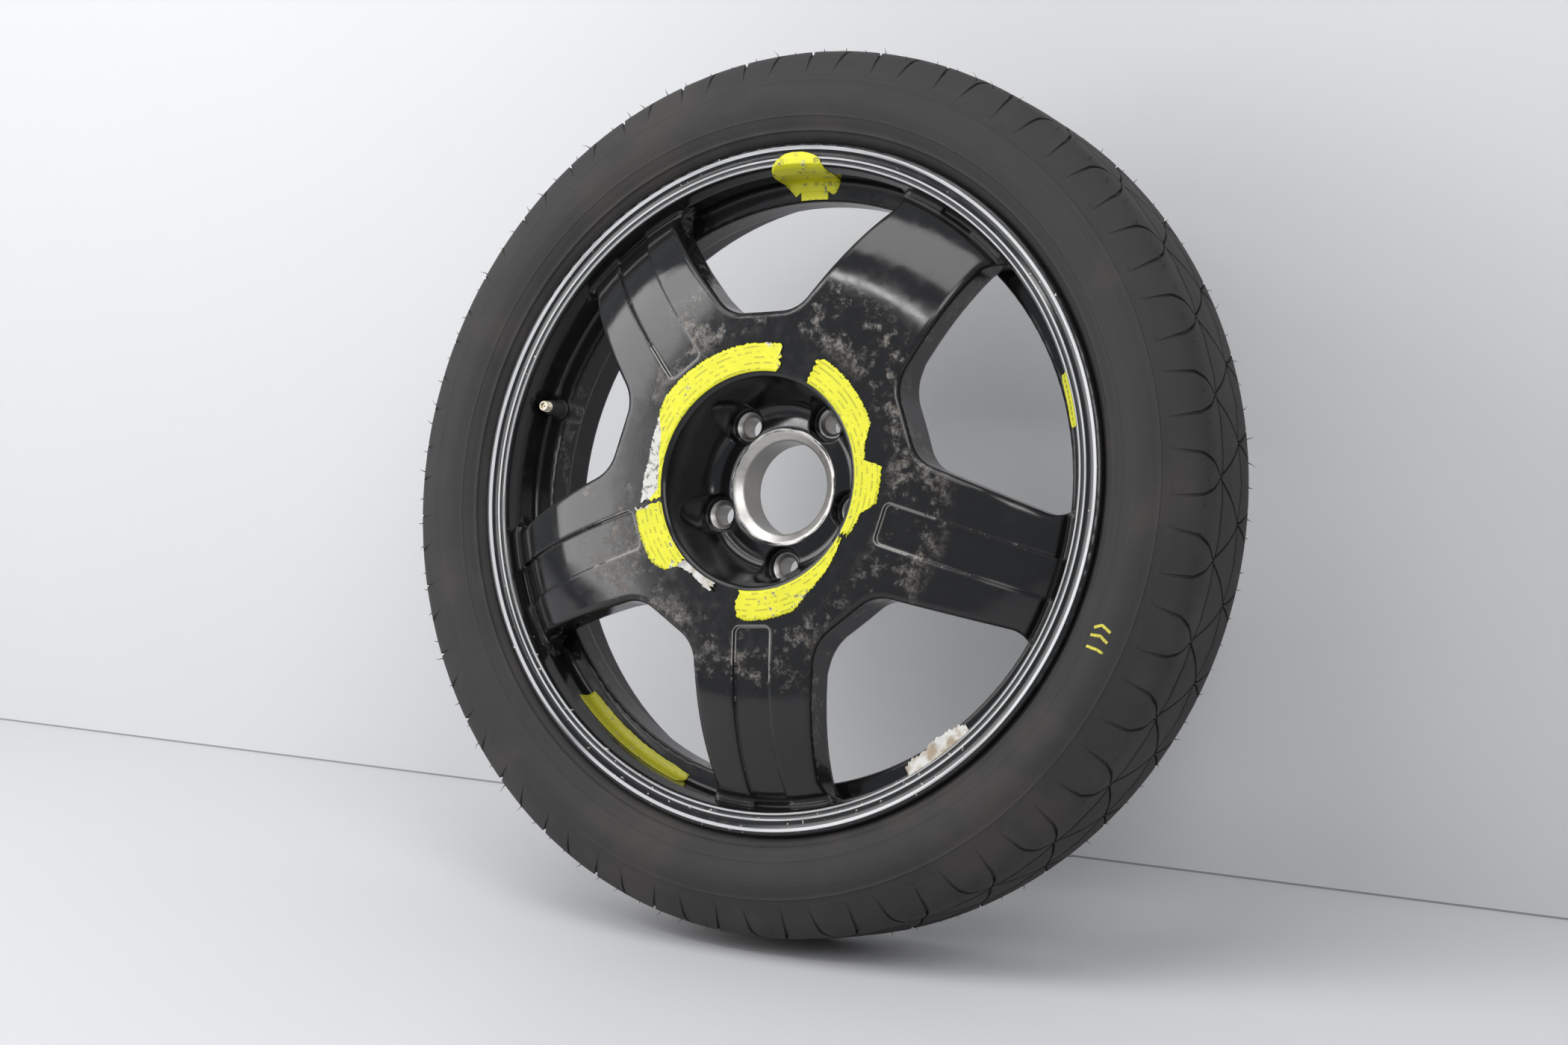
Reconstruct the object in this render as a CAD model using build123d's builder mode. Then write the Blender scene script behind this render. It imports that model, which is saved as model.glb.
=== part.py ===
"""A temporary spare wheel: cast alloy wheel, tyre, air valve and the remains of its labels.

The axle runs along Y, the outer face looks to -Y and +Z is up. The origin is on the axle at the
hub's mounting face. Sizes are in millimetres.
"""
import os
from math import cos, hypot, radians, sin, sqrt

from build123d import *

# Hub, bore and bolts
bore_radius = 33.3
bore_ring_radius = 39.6
bore_ring_outer = 43.0
bore_ring_y = -29.0
bore_chamfer_depth = 3.6
bore_back_chamfer = 1.4
bolt_circle_radius = 56.0
bolt_count = 5
bolt_hole_radius = 7.4
bolt_pocket_radius = 14.2
bolt_pocket_floor_y = -19.4
ball_seat_radius = 13.0
ball_seat_edge_radius = 10.2
hub_pad_radius = 77.0
hub_pad_edge = 4.0

# Face of the wheel: a flat ring round a bowl, then a dome down to the rim
plateau_y = -68.0
bowl_edge_radius = 74.0
bowl_edge_round = 3.2
bowl_foot_radius = 58.0
bowl_foot_y = -26.0
bowl_foot_round = 9.0
dome_start_radius = 105.0
dome_end_radius = 220.0
dome_fall = 33.5
dome_power = 2.9
dome_steps = 8
disc_sink = 4.7

# Back of the disc
back_neck_radius = 120.0
back_neck_thickness = 35.0
back_shoulder_radius = 140.0
spoke_thickness = 26.0
back_outer_radius = 214.0

# Spokes and the windows between them
spoke_angle = 54.0
window_angle = 90.0
spoke_half_width_inner = 47.0
spoke_half_width_outer = 39.4
spoke_inner_radius = 124.0
window_inner_distance = 119.0
window_inner_round = 27.0
window_outer_round = 13.0
window_edge_round = 4.0
window_sink = 0.1

# Channel in each spoke, and the step at the spoke's end
channel_start_radius = 101.0
channel_end_radius = 231.0
channel_width = 28.6
channel_corner_round = 4.5
channel_depth = 3.0
step_radius = 219.3
step_depth = 4.2
step_lean = 1.4
ledge_radius = 222.4
ledge_height = 2.6

# Rim section
wheel_offset = 14.2
rim_width = 88.9
bead_seat_radius = 231.0
bead_seat_drop = 1.4
bead_seat_length = 15.9
hump_height = 0.9
hump_length = 4.0
flange_height = 14.1
flange_width = 11.2
flange_straight = 6.4
lip_round = 3.2
lip_groove_radius = 236.6
lip_groove_depth = 1.5
lip_ridge_outer = 233.4
lip_ridge_inner = 229.2
lip_ridge_groove = 0.9
lip_ridge_depth = 0.7
funnel_radius = 227.0
shelf_radius = 224.5
shelf_front = 11.5
well_wall_y = -5.5
well_wall_thickness = 5.4
well_wall_round = 4.0
well_inner_radius = 209.2
well_thickness = 5.0
well_back_y = 16.5
well_edge_round = 2.6
back_slope_y = 38.0
back_shelf_radius = 224.0
back_flare = 8.0
back_lip_inner = 230.0

# Tyre
tyre_height = 85.1
tyre_half_width = 63.0
tread_half_width = 40.3
tread_drop = 3.0
tread_crown_drop = 0.7
shoulder_drop = 8.0
shoulder_reach = 6.0
upper_wall_drop = 16.0
upper_wall_reach = 11.6
widest_height = 45.0
rim_line_radius = 254.0
rim_line_half_width = 56.6
bead_clearance = 0.1
crown_thickness = 12.0
wall_thickness = 7.0
bead_inner_radius = 246.0
bead_inner_half_width = 41.0
bead_toe_height = 5.0
bead_bend_angle = 22.0

# Air valve, on an axis beside the axle
valve_angle = 162.0
valve_radius = 216.0
valve_tip_y = -28.5
valve_boss_radius = 10.0
valve_boss_length = 17.5
valve_spot_radius = 8.3
valve_hole_radius = 5.6
valve_pocket_radius = 7.6
valve_pocket_depth = 10.0
valve_fit = 0.05
collar_radius = 7.7
collar_length = 2.6
body_foot_radius = 6.6
body_top_radius = 5.1
body_top_y = -21.0
bulb_radius = 7.3
bulb_length = 7.0
bulb_taper = 1.6
stem_radius = 3.0
stem_thread_radius = 3.85
stem_thread_length = 7.2
stem_tip_round = 0.5
stem_bore_radius = 2.45
core_radius = 2.43
core_top_gap = 1.6
core_length = 11.0
core_bore_radius = 1.7
core_bridge_length = 2.0
core_seat_length = 1.0
core_seat_radius = 0.95
gasket_length = 1.6
gasket_place = 5.0
gasket_depth = 0.5
pin_radius = 0.62
pin_tip_gap = 0.6
pin_tip_round = 0.25
pin_collar_radius = 1.3
pin_collar_length = 0.7
pin_clearance = 0.05
poppet_radius = 1.5
poppet_length = 1.2
seal_length = 1.0
seal_gap = 0.02
spring_wire_radius = 0.16
spring_radius = 1.15
spring_turns = 6.0

# Labels
label_thickness = 0.15
label_inner_radius = 76.4
label_outer_radius = 97.5
label_neck_radius = 80.0
label_middle_radius = 88.0
label_low_radius = 84.0
label_wide_radius = 99.5
label_split = 2.0
upper_tear = 78.0
left_tear = 189.0
scrap_tear = 222.0
scrap_end = 246.0
bottom_tear = 262.0
right_tear = 330.0
right_end = 420.0
upper_edge = ((label_neck_radius, 0.98), (label_neck_radius, 0.78), (label_middle_radius, 0.65),
              (label_outer_radius, 0.58), (label_outer_radius, 0.03), (label_middle_radius, 0.005),
              (label_low_radius, 0.02))
lower_left_edge = ((label_low_radius, 1.08), (label_middle_radius, 1.16), (label_outer_radius, 0.9),
                   (label_wide_radius, 0.7), (label_wide_radius, 0.06))
scrap_edge = ((label_low_radius, 1.06), (label_neck_radius, 0.4), (label_low_radius, 0.11))
right_edge = ((label_middle_radius, 1.03), (label_outer_radius, 0.98), (label_outer_radius, 0.6),
              (label_middle_radius, 0.52), (label_low_radius, 0.43), (label_outer_radius, 0.38),
              (label_outer_radius, 0.21), (label_middle_radius, 0.17), (label_low_radius, 0.02))
bottom_edge = ((label_neck_radius, 0.97), (label_low_radius, 0.78), (label_middle_radius, 0.6),
               (label_outer_radius, 0.45), (label_outer_radius, 0.08), (label_middle_radius, 0))
film_thickness = 0.2
film_gap = 0.03
pressure_label_angle = 90.0
pressure_label_span = 12.4
pressure_label_drop = 6.0
right_label_angle = 13.0
right_label_span = 9.0
right_label_reach = 7.0
lower_label_angle = 234.5
lower_label_span = 27.0
lower_label_width = 11.5
lower_label_drop = 2.6
torn_label_angle = 305.5
torn_label_span = 13.0
torn_label_reach = 11.0
torn_label_rise = 4.5

# Worked out from the sizes above
rim_half = rim_width / 2
disc_outer_radius = shelf_radius + disc_sink
tyre_radius = bead_seat_radius + tyre_height
widest_radius = bead_seat_radius + widest_height
front_flange_y = wheel_offset - rim_half
back_flange_y = wheel_offset + rim_half
lip_front_y = front_flange_y - flange_width
lip_back_y = back_flange_y + flange_width
flange_radius = bead_seat_radius + flange_height
well_outer_radius = well_inner_radius + well_thickness
shelf_front_y = lip_front_y + shelf_front
window_outer_radius = shelf_radius + window_sink
spoke_outer_radius = sqrt(window_outer_radius**2 - spoke_half_width_outer**2)
valve_x = valve_radius * cos(radians(valve_angle))
valve_z = valve_radius * sin(radians(valve_angle))
far = disc_outer_radius


def face_y(radius):
    """Front face of the disc at a distance from the axle."""
    reach = max(radius - dome_start_radius, 0.0) / (dome_end_radius - dome_start_radius)
    return plateau_y + dome_fall * reach**dome_power


def dome(first, last, depth):
    """Points of a line that runs at a depth behind the front face."""
    radii = [first + (last - first) * step / dome_steps for step in range(dome_steps + 1)]
    return [(radius, face_y(radius) + depth) for radius in radii]


def polar(radius, angle):
    """A point in the wheel's plane, as (x, z)."""
    return radius * cos(radians(angle)), radius * sin(radians(angle))


def beside(angle, along, across):
    """A point in the wheel's plane, along a spoke's middle line and across from it."""
    x, z = polar(along, angle)
    dx, dz = polar(across, angle + window_angle)
    return x + dx, z + dz


def facing(y):
    """A plane across the axle at y; its own z looks to the outer face."""
    return Plane(origin=(0, y, 0), x_dir=(1, 0, 0), z_dir=(0, -1, 0))


def valve_plane(y):
    """A plane across the valve's axis at y; its own z looks into the tyre."""
    return Plane(origin=(valve_x, y, valve_z), x_dir=(1, 0, 0), z_dir=(0, 1, 0))


# Sections are drawn through the middle of a spoke, so that no seam runs along a window's edge
section = Plane(origin=(0, 0, 0), x_dir=(polar(1, spoke_angle)[0], 0, polar(1, spoke_angle)[1]),
                z_dir=(-polar(1, spoke_angle)[1], 0, polar(1, spoke_angle)[0]))
valve_section = Plane(origin=(valve_x, 0, valve_z), x_dir=(1, 0, 0), z_dir=(0, 0, 1))
valve_axis = Axis(origin=(valve_x, 0, valve_z), direction=(0, 1, 0))

# One window, drawn upright between two spokes
with BuildSketch() as window:
    right = spoke_angle
    left = 2 * window_angle - spoke_angle
    with BuildLine():
        inner_right = beside(right, spoke_inner_radius, spoke_half_width_inner)
        outer_right = beside(right, spoke_outer_radius, spoke_half_width_outer)
        slope = (outer_right[0] - inner_right[0]) / (outer_right[1] - inner_right[1])
        low_x = inner_right[0] + slope * (window_inner_distance - inner_right[1])
        Polyline(outer_right, (low_x, window_inner_distance), (-low_x, window_inner_distance),
                 (-outer_right[0], outer_right[1]))
        ThreePointArc((-outer_right[0], outer_right[1]), (0, window_outer_radius), outer_right)
    make_face()
    fillet(window.vertices().sort_by(Axis.Y)[:2], window_inner_round)
    across = window.vertices().sort_by(Axis.X)
    fillet(across[:1] + across[-1:], window_outer_round)

# The five channels: straight slots that follow the dome at an even depth
with BuildPart() as channels:
    with BuildSketch(facing(0)):
        with PolarLocations((channel_start_radius + channel_end_radius) / 2, bolt_count, spoke_angle):
            channel_length = channel_end_radius - channel_start_radius
            RectangleRounded(channel_length, channel_width, channel_corner_round)
    extrude(amount=2 * far)
    with BuildSketch(section):
        with BuildLine():
            floor = dome(dome_start_radius, disc_outer_radius, channel_depth)
            Line((bore_radius, floor[0][1]), floor[0])
            Spline(*floor)
            Polyline(floor[-1], (disc_outer_radius, plateau_y - far), (bore_radius, plateau_y - far),
                     (bore_radius, floor[0][1]))
        make_face()
    revolve(axis=Axis.Y, mode=Mode.INTERSECT)

# Boss that thickens the well's bottom where the valve sits
with BuildPart() as valve_boss:
    with BuildSketch(valve_plane(well_wall_y)):
        Circle(valve_boss_radius)
    extrude(amount=valve_boss_length)
    with BuildSketch(section):
        with BuildLine():
            Polyline((bore_radius, well_wall_y), (well_outer_radius, well_wall_y),
                     (well_outer_radius, well_wall_y + valve_boss_length),
                     (bore_radius, well_wall_y + valve_boss_length), close=True)
        make_face()
    revolve(axis=Axis.Y, mode=Mode.INTERSECT)

with BuildPart() as alloy_wheel:
    # Hub and disc
    with BuildSketch(section) as disc_section:
        with BuildLine():
            chamfer_y = bore_ring_y + bore_chamfer_depth
            front = dome(disc_outer_radius, dome_start_radius, 0)
            back = dome(back_shoulder_radius, back_outer_radius, spoke_thickness)
            back_neck = (back_neck_radius, plateau_y + back_neck_thickness)
            Polyline((bore_radius, chamfer_y), (bore_radius, -bore_back_chamfer),
                     (bore_radius + bore_back_chamfer, 0), (hub_pad_radius, 0),
                     (hub_pad_radius + hub_pad_edge, -hub_pad_edge), back_neck, back[0])
            Spline(*back)
            Polyline(back[-1], (disc_outer_radius, back[-1][1]), front[0])
            Spline(*front)
            Polyline((dome_start_radius, plateau_y), (bowl_edge_radius, plateau_y),
                     (bowl_foot_radius, bowl_foot_y), (bore_ring_outer, bore_ring_y),
                     (bore_ring_radius, bore_ring_y), (bore_radius, chamfer_y))
        make_face()
        for place, size in (((bowl_edge_radius, plateau_y), bowl_edge_round),
                            ((bowl_foot_radius, bowl_foot_y), bowl_foot_round),
                            (back_neck, bowl_foot_round)):
            fillet(disc_section.vertices().sort_by_distance(place)[0], size)
    revolve(axis=Axis.Y)

    # Windows, with their front edges rounded
    with BuildSketch(facing(0)):
        with PolarLocations(0, bolt_count, 0):
            add(window.sketch)
    extrude(amount=far, both=True, mode=Mode.SUBTRACT)
    front_y = face_y(window_outer_radius) + window_edge_round
    cut_edges = alloy_wheel.edges(Select.LAST).filter_by(lambda edge: edge.center().Y < front_y)
    outer_edges = cut_edges.sort_by(lambda edge: hypot(edge.center().X, edge.center().Z))[-bolt_count:]
    fillet(outer_edges, window_edge_round)

    # Step and ledge at the spokes' ends
    with BuildSketch(section):
        with BuildLine():
            step_top = face_y(step_radius)
            step_foot = step_top + step_depth
            Polyline((step_radius - step_lean, step_top - step_depth),
                     (step_radius - step_lean, step_top - step_lean),
                     (step_radius, step_foot), (ledge_radius, step_foot),
                     (ledge_radius, step_foot - ledge_height),
                     (disc_outer_radius, step_foot - ledge_height),
                     (disc_outer_radius, step_top - step_depth), close=True)
        make_face()
    revolve(axis=Axis.Y, mode=Mode.SUBTRACT)
    add(channels.part, mode=Mode.SUBTRACT)

    # Pockets, ball seats and holes for the bolts
    with BuildSketch(facing(bolt_pocket_floor_y)):
        with PolarLocations(bolt_circle_radius, bolt_count, spoke_angle):
            Circle(bolt_pocket_radius)
    extrude(amount=far, mode=Mode.SUBTRACT)
    seat_y = bolt_pocket_floor_y - sqrt(ball_seat_radius**2 - ball_seat_edge_radius**2)
    with Locations(facing(seat_y)):
        with PolarLocations(bolt_circle_radius, bolt_count, spoke_angle):
            Sphere(ball_seat_radius, mode=Mode.SUBTRACT)
    with BuildSketch(facing(0)):
        with PolarLocations(bolt_circle_radius, bolt_count, spoke_angle):
            Circle(bolt_hole_radius)
    extrude(amount=far, both=True, mode=Mode.SUBTRACT)

    # Rim
    with BuildSketch(section) as rim_section:
        with BuildLine():
            seat_low = bead_seat_radius - bead_seat_drop
            front_seat_end = front_flange_y + bead_seat_length
            back_seat_end = back_flange_y - bead_seat_length
            front_curl = (flange_radius, lip_front_y + lip_round)
            back_curl = (flange_radius, lip_back_y - lip_round)
            curl_start = bead_seat_radius + flange_straight
            curl_reach = flange_radius - curl_start
            bend = curl_reach * (1 - sqrt(2) / 2)
            lip_top = flange_radius - lip_round
            lip_middle = lip_top + lip_round * sqrt(2) / 2
            lip_bend = lip_round * (1 - sqrt(2) / 2)
            ridge_y = lip_front_y + lip_ridge_depth
            wall_back_y = well_wall_y + well_wall_thickness
            # front flange, from the bead seat round the lip
            Line((bead_seat_radius, front_flange_y), (curl_start, front_flange_y))
            ThreePointArc((curl_start, front_flange_y), (flange_radius - bend, front_flange_y - bend),
                          (flange_radius, front_flange_y - curl_reach))
            Line((flange_radius, front_flange_y - curl_reach), front_curl)
            ThreePointArc(front_curl, (lip_middle, lip_front_y + lip_bend), (lip_top, lip_front_y))
            Polyline((lip_top, lip_front_y), (lip_groove_radius, lip_front_y + lip_groove_depth),
                     (lip_ridge_outer, ridge_y),
                     ((lip_ridge_outer + lip_ridge_inner) / 2, ridge_y + lip_ridge_groove),
                     (lip_ridge_inner, ridge_y),
                     (funnel_radius, lip_front_y + flange_width / 3), (shelf_radius, shelf_front_y),
                     (shelf_radius, well_wall_y), (well_inner_radius, well_wall_y),
                     (well_inner_radius, well_back_y), (back_shelf_radius, back_slope_y),
                     (back_shelf_radius, lip_back_y - back_flare), (back_lip_inner, lip_back_y),
                     (lip_top, lip_back_y))
            ThreePointArc((lip_top, lip_back_y), (lip_middle, lip_back_y - lip_bend), back_curl)
            Line(back_curl, (flange_radius, back_flange_y + curl_reach))
            ThreePointArc((flange_radius, back_flange_y + curl_reach),
                          (flange_radius - bend, back_flange_y + bend), (curl_start, back_flange_y))
            Polyline((curl_start, back_flange_y), (bead_seat_radius, back_flange_y),
                     (seat_low, back_seat_end),
                     (seat_low + hump_height, back_seat_end - hump_length / 2),
                     (seat_low, back_seat_end - hump_length),
                     (well_outer_radius, well_back_y + well_thickness / 2),
                     (well_outer_radius, wall_back_y), (seat_low, wall_back_y),
                     (seat_low, front_seat_end + hump_length),
                     (seat_low + hump_height, front_seat_end + hump_length / 2), (seat_low, front_seat_end),
                     (bead_seat_radius, front_flange_y))
        make_face()
        for place, size in (((shelf_radius, well_wall_y), well_wall_round),
                            ((well_inner_radius, well_wall_y), well_edge_round),
                            ((well_outer_radius, wall_back_y), well_wall_round),
                            ((seat_low, wall_back_y), well_edge_round)):
            fillet(rim_section.vertices().sort_by_distance(place)[0], size)
    revolve(axis=Axis.Y)

    # Seat for the valve: the boss, spot-faced, with room for the valve's bulb
    add(valve_boss.part)
    with BuildSketch(valve_plane(well_wall_y)):
        Circle(valve_spot_radius)
    extrude(amount=-well_wall_round, mode=Mode.SUBTRACT)
    with BuildSketch(valve_plane(wall_back_y)):
        Circle(valve_pocket_radius)
    extrude(amount=valve_pocket_depth, mode=Mode.SUBTRACT)
    with BuildSketch(valve_plane(well_wall_y)):
        Circle(valve_hole_radius)
    extrude(amount=well_wall_thickness, mode=Mode.SUBTRACT)

# Tyre: a hollow carcass whose beads sit on the rim's seats
with BuildPart() as tyre:
    with BuildSketch(section):
        with BuildLine():
            def wall(side, radius, half_width):
                """A point of the tyre's section on one side of its middle."""
                return radius, wheel_offset + side * half_width

            hug = curl_reach + bead_clearance
            curl = hug * sqrt(2) / 2
            lean = curl_reach - curl
            outside = [(curl_start + curl, rim_half + lean), (rim_line_radius, rim_line_half_width),
                       (widest_radius, tyre_half_width),
                       (tyre_radius - upper_wall_drop, tread_half_width + upper_wall_reach),
                       (tyre_radius - shoulder_drop, tread_half_width + shoulder_reach),
                       (tyre_radius - tread_drop, tread_half_width),
                       (tyre_radius - tread_crown_drop, tread_half_width / 2)]
            inside = [(bead_inner_radius, bead_inner_half_width),
                      (widest_radius, tyre_half_width - wall_thickness),
                      (tyre_radius - crown_thickness - shoulder_drop, tread_half_width),
                      (tyre_radius - crown_thickness, tread_half_width / 2)]
            front_outside = [wall(-1, *point) for point in outside]
            back_outside = [wall(1, *point) for point in reversed(outside)]
            front_inside = [wall(-1, *point) for point in inside]
            back_inside = [wall(1, *point) for point in reversed(inside)]
            Spline(*front_outside, (tyre_radius, wheel_offset), *back_outside)
            for side in (-1, 1):
                face = rim_half - bead_clearance
                heel = wall(side, bead_seat_radius + bead_clearance, face)
                toe_half = rim_half - bead_seat_length
                toe = wall(side, bead_seat_radius - bead_seat_drop + bead_clearance, toe_half)
                lift = wall(side, bead_seat_radius + bead_toe_height, toe_half)
                bead_end = wall(side, *inside[0])
                knee = wall(side, curl_start, face)
                flange_curl = wall(side, *outside[0])
                along, across = polar(hug, bead_bend_angle)
                middle = wall(side, curl_start + across, rim_half + curl_reach - along)
                ThreePointArc(flange_curl, middle, knee)
                Polyline(knee, heel, toe, lift, bead_end)
            Spline(*front_inside, (tyre_radius - crown_thickness, wheel_offset), *back_inside)
        make_face()
    revolve(axis=Axis.Y)

# Air valve
collar_y = well_wall_y - valve_fit
bulb_y = wall_back_y + valve_fit
bulb_end_y = bulb_y + bulb_length
thread_end_y = valve_tip_y + stem_thread_length
core_top_y = valve_tip_y + core_top_gap
core_end_y = core_top_y + core_length
bridge_end_y = core_top_y + core_bridge_length
core_seat_y = core_end_y - core_seat_length
gasket_y = core_top_y + gasket_place
pin_hole_radius = pin_radius + pin_clearance
pin_collar_y = bridge_end_y + pin_clearance
spring_start_y = pin_collar_y + pin_collar_length + spring_wire_radius
spring_end_y = core_seat_y - spring_wire_radius
seal_y = core_end_y + seal_gap
poppet_y = seal_y + seal_length

with BuildPart() as valve_body:
    with BuildSketch(valve_section):
        with BuildLine():
            neck = valve_hole_radius - valve_fit
            Polyline((stem_radius, body_top_y), (body_top_radius, body_top_y),
                     (body_foot_radius, collar_y - collar_length),
                     (collar_radius, collar_y - collar_length / 2),
                     (collar_radius, collar_y), (neck, collar_y), (neck, bulb_y), (bulb_radius, bulb_y),
                     (bulb_radius, bulb_end_y - bulb_taper), (bulb_radius - bulb_taper, bulb_end_y),
                     (stem_radius, bulb_end_y), close=True)
        make_face()
    revolve(axis=valve_axis)

with BuildPart() as valve_stem:
    with BuildSketch(valve_section):
        with BuildLine():
            tip = stem_thread_radius - stem_tip_round
            Polyline((stem_bore_radius, valve_tip_y), (tip, valve_tip_y),
                     (stem_thread_radius, valve_tip_y + stem_tip_round), (stem_thread_radius, thread_end_y),
                     (stem_radius, thread_end_y), (stem_radius, bulb_end_y),
                     (stem_bore_radius, bulb_end_y), close=True)
        make_face()
    revolve(axis=valve_axis)

with BuildPart() as valve_core:
    with BuildSketch(valve_section):
        with BuildLine():
            waist = core_radius - gasket_depth
            gasket_end_y = gasket_y + gasket_length
            Polyline((pin_hole_radius, core_top_y), (core_radius, core_top_y), (core_radius, gasket_y),
                     (waist, gasket_y), (waist, gasket_end_y), (core_radius, gasket_end_y),
                     (core_radius, core_end_y), (core_seat_radius, core_end_y),
                     (core_seat_radius, core_seat_y),
                     (core_bore_radius, core_seat_y), (core_bore_radius, bridge_end_y),
                     (pin_hole_radius, bridge_end_y), close=True)
        make_face()
    revolve(axis=valve_axis)

with BuildPart() as core_gasket:
    with BuildSketch(valve_section):
        with BuildLine():
            Polyline((waist, gasket_y), (stem_bore_radius, gasket_y),
                     (stem_bore_radius, gasket_end_y), (waist, gasket_end_y), close=True)
        make_face()
    revolve(axis=valve_axis)

with BuildPart() as valve_pin:
    with BuildSketch(valve_section):
        with BuildLine():
            pin_tip_y = valve_tip_y + pin_tip_gap
            Polyline((0, pin_tip_y), (pin_radius - pin_tip_round, pin_tip_y),
                     (pin_radius, pin_tip_y + pin_tip_round),
                     (pin_radius, pin_collar_y), (pin_collar_radius, pin_collar_y),
                     (pin_collar_radius, pin_collar_y + pin_collar_length),
                     (pin_radius, pin_collar_y + pin_collar_length), (pin_radius, poppet_y),
                     (poppet_radius, poppet_y), (poppet_radius, poppet_y + poppet_length),
                     (0, poppet_y + poppet_length), close=True)
        make_face()
    revolve(axis=valve_axis)

with BuildPart() as poppet_seal:
    with BuildSketch(valve_section):
        with BuildLine():
            Polyline((pin_radius, seal_y), (poppet_radius, seal_y), (poppet_radius, poppet_y),
                     (pin_radius, poppet_y), close=True)
        make_face()
    revolve(axis=valve_axis)

with BuildPart() as valve_spring:
    with BuildLine() as coil:
        height = spring_end_y - spring_start_y
        Helix(pitch=height / spring_turns, height=height, radius=spring_radius,
              center=(valve_x, spring_start_y, valve_z), direction=(0, 1, 0))
    with BuildSketch(Plane(origin=coil.line @ 0, z_dir=coil.line % 0)):
        Circle(spring_wire_radius)
    sweep(path=coil.line)


def hub_label(first, last, edge):
    """One torn piece of the hub's label between two angles; its outer edge is in (radius, share)."""
    outline = [(label_inner_radius, 0), (label_inner_radius, 1), *edge]
    corners = [(radius, first + share * (last - first)) for radius, share in outline]
    with BuildPart() as piece:
        with BuildSketch(facing(plateau_y)):
            with BuildLine():
                for here, there in zip(corners, corners[1:] + corners[:1]):
                    if here[0] == there[0]:
                        middle = polar(here[0], (here[1] + there[1]) / 2)
                        ThreePointArc(polar(*here), middle, polar(*there))
                    else:
                        Line(polar(*here), polar(*there))
            make_face()
        extrude(amount=label_thickness)
    return piece


def rim_film(outline, angle, span):
    """A thin label that follows a line of the rim's section, round the axle on both sides of an angle."""
    last = angle + span / 2
    start = Plane(origin=(0, 0, 0), x_dir=(polar(1, last)[0], 0, polar(1, last)[1]),
                  z_dir=(-polar(1, last)[1], 0, polar(1, last)[0]))
    with BuildPart() as piece:
        with BuildSketch(start):
            with BuildLine():
                Polyline(*outline)
            trace(line_width=film_thickness)
        revolve(axis=Axis.Y, revolution_arc=span)
    return piece


split = label_split / 2
hub_label_upper = hub_label(upper_tear, left_tear - split, upper_edge)
hub_label_lower_left = hub_label(left_tear + split, scrap_tear - split, lower_left_edge)
hub_label_scrap = hub_label(scrap_tear + split, scrap_end, scrap_edge)
hub_label_bottom = hub_label(bottom_tear, right_tear - split, bottom_edge)
hub_label_right = hub_label(right_tear + split, right_end, right_edge)

# Films on the rim, a little clear of its surface
film = film_gap + film_thickness / 2
shelf_line = shelf_radius - film
wall_line = well_wall_y - film
round_centre = (shelf_radius - well_wall_round, well_wall_y - well_wall_round)
corner_reach = (well_wall_round - film) * sqrt(2) / 2
corner = (round_centre[0] + corner_reach, round_centre[1] + corner_reach)
ridge = (lip_ridge_inner - film, ridge_y - film)
funnel = (funnel_radius - film, lip_front_y + flange_width / 3 - film / 2)
shelf_start = (shelf_line, shelf_front_y)
shelf_end = (shelf_line, round_centre[1])
wall_start = (round_centre[0], wall_line)

pressure_label = rim_film([ridge, funnel, shelf_start, shelf_end, corner, wall_start,
                           (round_centre[0] - pressure_label_drop, wall_line)],
                          pressure_label_angle, pressure_label_span)
rim_label_right = rim_film([ridge, (ridge[0] - right_label_reach, ridge[1] + right_label_reach)],
                           right_label_angle, right_label_span)
rim_label_lower = rim_film([(shelf_line, round_centre[1] - lower_label_width), shelf_end, corner, wall_start,
                            (round_centre[0] - lower_label_drop, wall_line)],
                           lower_label_angle, lower_label_span)
torn_label = rim_film([ridge, (ridge[0] - torn_label_reach, ridge[1] + torn_label_rise)],
                      torn_label_angle, torn_label_span)

alloy_wheel.part.label = "alloy_wheel"
tyre.part.label = "tyre"
valve_body.part.label = "valve_body"
valve_stem.part.label = "valve_stem"
valve_core.part.label = "valve_core"
core_gasket.part.label = "core_gasket"
valve_pin.part.label = "valve_pin"
poppet_seal.part.label = "poppet_seal"
valve_spring.part.label = "valve_spring"
hub_label_upper.part.label = "hub_label_upper"
hub_label_lower_left.part.label = "hub_label_lower_left"
hub_label_scrap.part.label = "hub_label_scrap"
hub_label_right.part.label = "hub_label_right"
hub_label_bottom.part.label = "hub_label_bottom"
pressure_label.part.label = "pressure_label"
rim_label_right.part.label = "rim_label_right"
rim_label_lower.part.label = "rim_label_lower"
torn_label.part.label = "torn_label"

os.makedirs("parts", exist_ok=True)
export_step(alloy_wheel.part, "parts/alloy_wheel.step")
export_step(tyre.part, "parts/tyre.step")
export_step(valve_body.part, "parts/valve_body.step")
export_step(valve_stem.part, "parts/valve_stem.step")
export_step(valve_core.part, "parts/valve_core.step")
export_step(core_gasket.part, "parts/core_gasket.step")
export_step(valve_pin.part, "parts/valve_pin.step")
export_step(poppet_seal.part, "parts/poppet_seal.step")
export_step(valve_spring.part, "parts/valve_spring.step")
export_step(hub_label_upper.part, "parts/hub_label_upper.step")
export_step(hub_label_lower_left.part, "parts/hub_label_lower_left.step")
export_step(hub_label_scrap.part, "parts/hub_label_scrap.step")
export_step(hub_label_right.part, "parts/hub_label_right.step")
export_step(hub_label_bottom.part, "parts/hub_label_bottom.step")
export_step(pressure_label.part, "parts/pressure_label.step")
export_step(rim_label_right.part, "parts/rim_label_right.step")
export_step(rim_label_lower.part, "parts/rim_label_lower.step")
export_step(torn_label.part, "parts/torn_label.step")
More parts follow.
